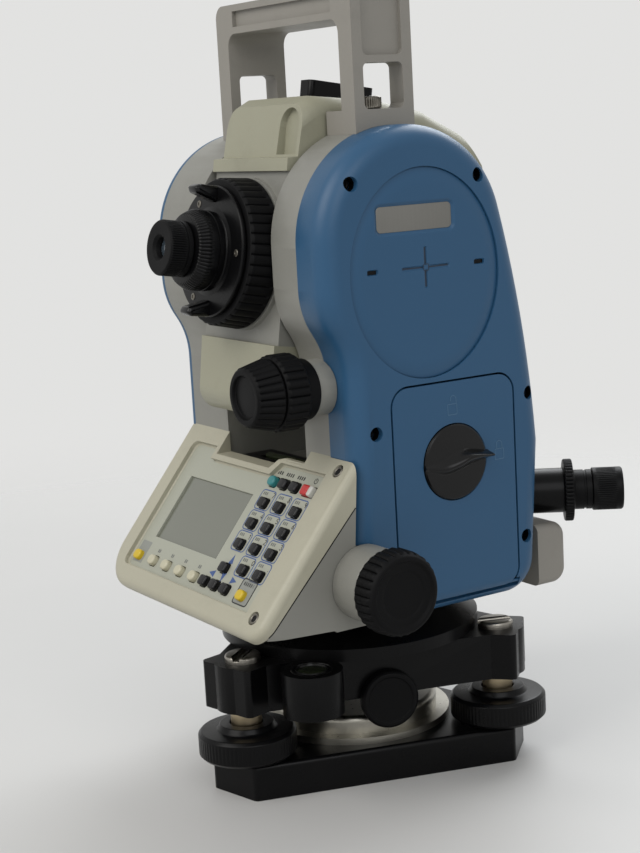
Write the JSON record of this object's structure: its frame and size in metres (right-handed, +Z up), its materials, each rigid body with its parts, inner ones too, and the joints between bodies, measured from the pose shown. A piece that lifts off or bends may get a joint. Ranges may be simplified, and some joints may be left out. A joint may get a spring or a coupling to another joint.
{
  "type": "total station",
  "caption": "Surveying total station: tilting telescope between two standards with a keyboard, carrying handle and optical plummet, on a three-screw tribrach.",
  "frame": {"origin": "on the vertical axis at the underside of the base plate, in the mouth of the tripod thread", "axes": "+X along the trunnion axis towards the battery side, +Y along the sight line away from the keyboard, +Z up the vertical axis"},
  "size_m": [0.1917, 0.2017, 0.347],
  "materials": {
    "black_metal": "satin",
    "black_plastic": "matte",
    "steel": "brushed",
    "grey_metal": "satin",
    "blue_plastic": "fine matte",
    "beige_plastic": "fine matte",
    "grey_plastic": "matte",
    "plate": "matte",
    "display": "gloss",
    "rubber": "ribbed",
    "glass": "clear",
    "aluminium": "machined",
    "teal_key": "gloss",
    "black_key": "gloss",
    "red_key": "gloss",
    "yellow_key": "gloss",
    "cream_key": "gloss"
  },
  "bodies": {
    "tribrach": {"base_plate": "black_metal", "spring_plate": "steel", "tribrach_body": "black_metal", "footscrew_bushes": "steel", "circular_level": "glass"},
    "footscrew_right": {"footscrew_right": "black_plastic"},
    "footscrew_left": {"footscrew_left": "black_plastic"},
    "footscrew_front": {"footscrew_front": "black_plastic"},
    "tribrach_clamp": {"tribrach_clamp_knob": "black_plastic"},
    "base": {"instrument_base": "black_metal", "horizontal_circle": "glass"},
    "alidade": {"alidade_frame": "grey_metal", "vertical_axis": "steel", "right_cover": "blue_plastic", "left_cover": "blue_plastic", "oval_covers": "blue_plastic", "case_screws": "steel", "battery_pack": "black_plastic", "control_panel": "beige_plastic", "face_plate": "plate", "lcd_window": "display", "number_keys": "black_key", "rear_housing": "grey_plastic", "carry_handle": "grey_plastic", "plate_level": "black_plastic", "plummet_tube": "black_metal"},
    "battery_door": {"battery_door": "blue_plastic"},
    "battery_knob": {"battery_knob": "black_plastic"},
    "handle_screw_right": {"handle_screw_right": "steel"},
    "handle_screw_left": {"handle_screw_left": "steel"},
    "vertical_clamp": {"vertical_clamp_ring": "rubber"},
    "vertical_tangent": {"vertical_tangent_knob": "rubber"},
    "horizontal_clamp": {"horizontal_clamp_ring": "rubber"},
    "horizontal_tangent": {"horizontal_tangent_knob": "rubber"},
    "plummet_focus": {"plummet_focus_ring": "rubber"},
    "plummet_eyepiece": {"plummet_eyepiece": "rubber"},
    "telescope": {"telescope_body": "aluminium", "telescope_upper_cover": "beige_plastic", "telescope_lower_cover": "beige_plastic", "trunnion_axle": "steel", "vertical_circle": "glass", "objective_lens": "glass", "sight_collimator": "black_plastic", "eyepiece_mount": "black_metal"},
    "focus_ring": {"focus_ring": "rubber"},
    "eyepiece": {"eyepiece": "rubber"},
    "key_mode": {"key_mode": "teal_key"},
    "key_menu": {"key_menu": "black_key"},
    "key_light": {"key_light": "black_key"},
    "key_power": {"key_power": "red_key"},
    "key_enter": {"key_enter": "yellow_key"},
    "key_escape": {"key_escape": "yellow_key"},
    "key_up": {"key_up": "black_key"},
    "key_left": {"key_left": "black_key"},
    "key_down": {"key_down": "black_key"},
    "key_right": {"key_right": "black_key"},
    "key_soft_1": {"key_soft_1": "cream_key"},
    "key_soft_2": {"key_soft_2": "cream_key"},
    "key_soft_3": {"key_soft_3": "cream_key"},
    "key_soft_4": {"key_soft_4": "cream_key"}
  },
  "joints": [
    {"name": "footscrew_right_turn", "type": "hinge", "parent": "tribrach", "child": "footscrew_right", "pos_m": [0.05046, 0.04706, 0.023], "axis": [0, 0, 1], "continuous": true},
    {"name": "footscrew_left_turn", "type": "hinge", "parent": "tribrach", "child": "footscrew_left", "pos_m": [-0.06599, 0.02017, 0.023], "axis": [0, 0, 1], "continuous": true},
    {"name": "footscrew_front_turn", "type": "hinge", "parent": "tribrach", "child": "footscrew_front", "pos_m": [0.01552, -0.06723, 0.023], "axis": [0, 0, 1], "continuous": true},
    {"name": "tribrach_clamp_turn", "type": "hinge", "parent": "tribrach", "child": "tribrach_clamp", "pos_m": [0.04613, -0.01159, 0.0381], "axis": [0.9563, -0.2924, 0], "range_deg": [0, 180]},
    {"name": "instrument_lift", "type": "slide", "parent": "tribrach", "child": "base", "axis": [0, 0, 1], "range_m": [0, 0.05]},
    {"name": "alidade_turn", "type": "hinge", "parent": "base", "child": "alidade", "pos_m": [0, 0, 0.083], "axis": [0, 0, 1], "continuous": true},
    {"name": "telescope_tilt", "type": "hinge", "parent": "alidade", "child": "telescope", "pos_m": [0, 0, 0.2302], "axis": [1, 0, 0], "continuous": true},
    {"name": "focus_turn", "type": "hinge", "parent": "telescope", "child": "focus_ring", "pos_m": [0, 0, 0.2302], "axis": [0, -0.9884, 0.1518], "range_deg": [-180, 180]},
    {"name": "eyepiece_turn", "type": "hinge", "parent": "telescope", "child": "eyepiece", "pos_m": [0, 0, 0.2302], "axis": [0, -0.9884, 0.1518], "range_deg": [-180, 180]},
    {"name": "vertical_clamp_turn", "type": "hinge", "parent": "alidade", "child": "vertical_clamp", "pos_m": [0.0498, -0.0475, 0.1825], "axis": [0, -1, 0], "range_deg": [-45, 45]},
    {"name": "vertical_tangent_turn", "type": "hinge", "parent": "alidade", "child": "vertical_tangent", "pos_m": [0.0498, -0.0475, 0.1825], "axis": [0, -1, 0], "continuous": true},
    {"name": "horizontal_clamp_turn", "type": "hinge", "parent": "alidade", "child": "horizontal_clamp", "pos_m": [0.0917, -0.039, 0.1022], "axis": [1, 0, 0], "range_deg": [-45, 45]},
    {"name": "horizontal_tangent_turn", "type": "hinge", "parent": "alidade", "child": "horizontal_tangent", "pos_m": [0.0917, -0.039, 0.1022], "axis": [1, 0, 0], "continuous": true},
    {"name": "plummet_focus_turn", "type": "hinge", "parent": "alidade", "child": "plummet_focus", "pos_m": [0, 0, 0.1195], "axis": [0.5878, 0.809, 0], "range_deg": [-180, 180]},
    {"name": "plummet_eyepiece_turn", "type": "hinge", "parent": "alidade", "child": "plummet_eyepiece", "pos_m": [0, 0, 0.1195], "axis": [0.5878, 0.809, 0], "range_deg": [-180, 180]},
    {"name": "battery_door_swing", "type": "hinge", "parent": "alidade", "child": "battery_door", "pos_m": [0.07149, 0.0115, 0.08665], "axis": [0, 1, 0], "range_deg": [0, 85]},
    {"name": "battery_knob_turn", "type": "hinge", "parent": "battery_door", "child": "battery_knob", "pos_m": [0.0735, 0.011, 0.1456], "axis": [1, 0, 0], "range_deg": [0, 90]},
    {"name": "handle_screw_right_turn", "type": "hinge", "parent": "alidade", "child": "handle_screw_right", "pos_m": [0.0435, -0.005, 0.2963], "axis": [0, 0, 1], "continuous": true},
    {"name": "handle_screw_left_turn", "type": "hinge", "parent": "alidade", "child": "handle_screw_left", "pos_m": [-0.0435, -0.005, 0.2963], "axis": [0, 0, 1], "continuous": true},
    {"name": "key_mode_press", "type": "slide", "parent": "alidade", "child": "key_mode", "axis": [0, 0.7738, -0.6334], "range_m": [0, 0.001], "stiffness_N_per_m": 400, "springref_m": -0.0005},
    {"name": "key_menu_press", "type": "slide", "parent": "alidade", "child": "key_menu", "axis": [0, 0.7738, -0.6334], "range_m": [0, 0.001], "stiffness_N_per_m": 400, "springref_m": -0.0005},
    {"name": "key_light_press", "type": "slide", "parent": "alidade", "child": "key_light", "axis": [0, 0.7738, -0.6334], "range_m": [0, 0.001], "stiffness_N_per_m": 400, "springref_m": -0.0005},
    {"name": "key_power_press", "type": "slide", "parent": "alidade", "child": "key_power", "axis": [0, 0.7738, -0.6334], "range_m": [0, 0.001], "stiffness_N_per_m": 400, "springref_m": -0.0005},
    {"name": "key_enter_press", "type": "slide", "parent": "alidade", "child": "key_enter", "axis": [0, 0.7738, -0.6334], "range_m": [0, 0.001], "stiffness_N_per_m": 400, "springref_m": -0.0005},
    {"name": "key_escape_press", "type": "slide", "parent": "alidade", "child": "key_escape", "axis": [0, 0.7738, -0.6334], "range_m": [0, 0.001], "stiffness_N_per_m": 400, "springref_m": -0.0005},
    {"name": "key_up_press", "type": "slide", "parent": "alidade", "child": "key_up", "axis": [0, 0.7738, -0.6334], "range_m": [0, 0.001], "stiffness_N_per_m": 400, "springref_m": -0.0005},
    {"name": "key_left_press", "type": "slide", "parent": "alidade", "child": "key_left", "axis": [0, 0.7738, -0.6334], "range_m": [0, 0.001], "stiffness_N_per_m": 400, "springref_m": -0.0005},
    {"name": "key_down_press", "type": "slide", "parent": "alidade", "child": "key_down", "axis": [0, 0.7738, -0.6334], "range_m": [0, 0.001], "stiffness_N_per_m": 400, "springref_m": -0.0005},
    {"name": "key_right_press", "type": "slide", "parent": "alidade", "child": "key_right", "axis": [0, 0.7738, -0.6334], "range_m": [0, 0.001], "stiffness_N_per_m": 400, "springref_m": -0.0005},
    {"name": "key_soft_1_press", "type": "slide", "parent": "alidade", "child": "key_soft_1", "axis": [0, 0.7738, -0.6334], "range_m": [0, 0.001], "stiffness_N_per_m": 400, "springref_m": -0.0005},
    {"name": "key_soft_2_press", "type": "slide", "parent": "alidade", "child": "key_soft_2", "axis": [0, 0.7738, -0.6334], "range_m": [0, 0.001], "stiffness_N_per_m": 400, "springref_m": -0.0005},
    {"name": "key_soft_3_press", "type": "slide", "parent": "alidade", "child": "key_soft_3", "axis": [0, 0.7738, -0.6334], "range_m": [0, 0.001], "stiffness_N_per_m": 400, "springref_m": -0.0005},
    {"name": "key_soft_4_press", "type": "slide", "parent": "alidade", "child": "key_soft_4", "axis": [0, 0.7738, -0.6334], "range_m": [0, 0.001], "stiffness_N_per_m": 400, "springref_m": -0.0005}
  ]
}
